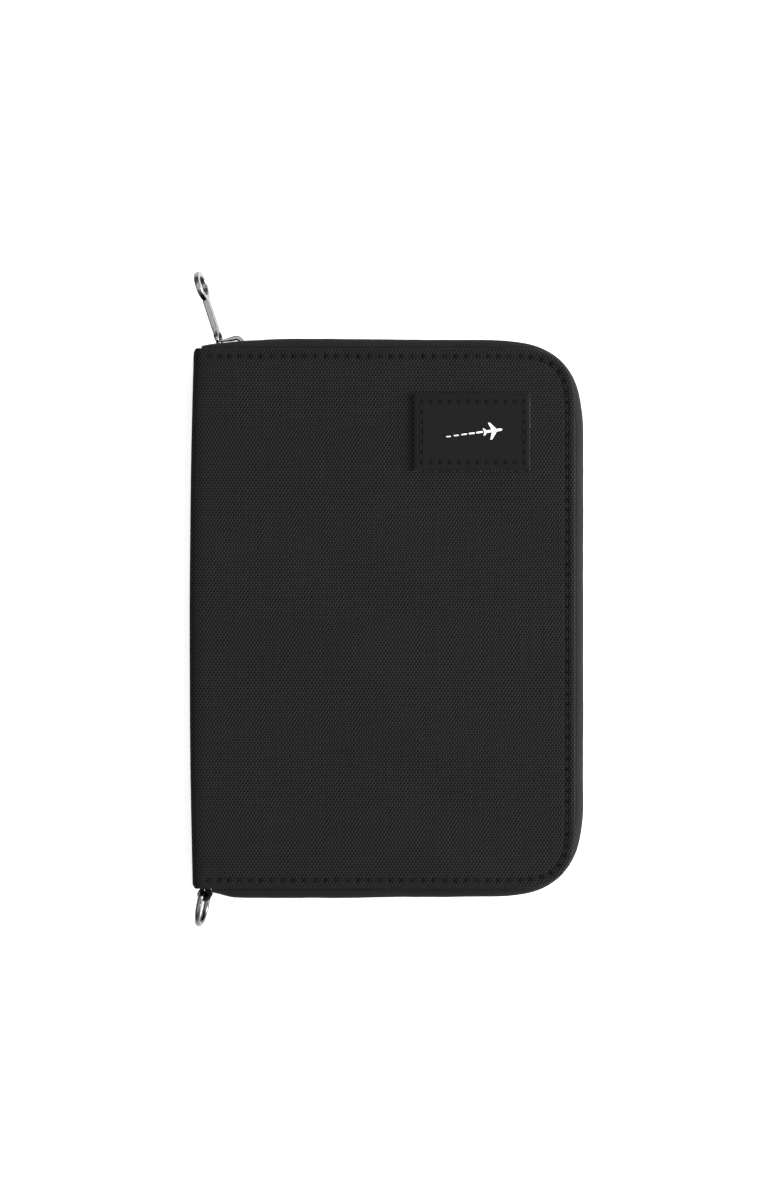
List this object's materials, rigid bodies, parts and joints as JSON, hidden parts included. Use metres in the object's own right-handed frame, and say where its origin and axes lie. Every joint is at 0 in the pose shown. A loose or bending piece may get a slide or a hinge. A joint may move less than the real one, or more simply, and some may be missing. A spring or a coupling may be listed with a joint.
{
  "type": "passport wallet",
  "caption": "Zip-round travel wallet for a passport and cards: two fabric covers hinged on a spine, closed by a coil zip on three sides, with a strap ring.",
  "frame": {"origin": "on the back cover's outer face, midway between the spine's outer face and the zip edge, and midway along the height", "axes": "+X from the spine to the zip's long side, +Y to the end where the zip slider parks, +Z out of the front cover. The closed wallet lies on its back cover"},
  "size_m": [0.1095, 0.1833, 0.0207],
  "materials": {
    "outer_fabric": "black plain-weave polyester, matt",
    "stiffener": "pale stiffening board",
    "shield_foil": "thin metallised shielding layer",
    "lining": "dark grey lining fabric",
    "zip_tape": "black knitted zip tape",
    "zip_coil": "black polyester coil",
    "binding": "black ribbed binding tape",
    "label": "smooth matt black sewn label",
    "metal": "polished gunmetal plating"
  },
  "bodies": {
    "back": {"back_cover": "outer_fabric", "back_board": "stiffener", "back_shield": "shield_foil", "back_lining": "lining", "back_zip_tape": "zip_tape", "back_zip_coil": "zip_coil", "back_top_stop": "metal", "zip_bottom_stop": "metal", "passport_gusset": "binding", "passport_pocket": "lining", "passport_pocket_binding": "binding"},
    "spine": {"spine_cover": "outer_fabric", "spine_board": "stiffener", "spine_lining": "lining", "strap_tab": "binding"},
    "front": {"front_cover": "outer_fabric", "front_board": "stiffener", "front_shield": "shield_foil", "front_lining": "lining", "front_zip_tape": "zip_tape", "front_zip_coil": "zip_coil", "front_top_stop": "metal", "front_label": "label", "slip_pocket": "lining", "slip_pocket_binding": "binding", "card_slot_1": "lining", "card_slot_2": "lining", "card_slot_3": "lining", "card_slot_4": "lining"},
    "slider": {"slider_body": "metal"},
    "pull": {"zip_pull": "metal"},
    "ring": {"strap_ring": "metal"}
  },
  "joints": [
    {"name": "spine_fold", "type": "hinge", "parent": "back", "child": "spine", "pos_m": [-0.0547, 0, 0], "axis": [0, -1, 0], "range_deg": [0, 90]},
    {"name": "front_fold", "type": "hinge", "parent": "spine", "child": "front", "pos_m": [-0.0547, 0, 0.02], "axis": [0, -1, 0], "range_deg": [0, 90]},
    {"name": "slider_travel", "type": "slide", "parent": "back", "child": "slider", "axis": [1, 0, 0], "range_m": [0, 0.068]},
    {"name": "pull_swing", "type": "hinge", "parent": "slider", "child": "pull", "pos_m": [-0.04635, 0.0765, 0.01], "axis": [0, 0, 1], "range_deg": [-53, 62]},
    {"name": "ring_swing", "type": "hinge", "parent": "spine", "child": "ring", "pos_m": [-0.05075, -0.0769, 0.01], "axis": [0, 0, 1], "range_deg": [-69, 55]}
  ],
  "couplings": [
    {"joint": "front_fold", "follows": "spine_fold", "ratio": 1}
  ]
}
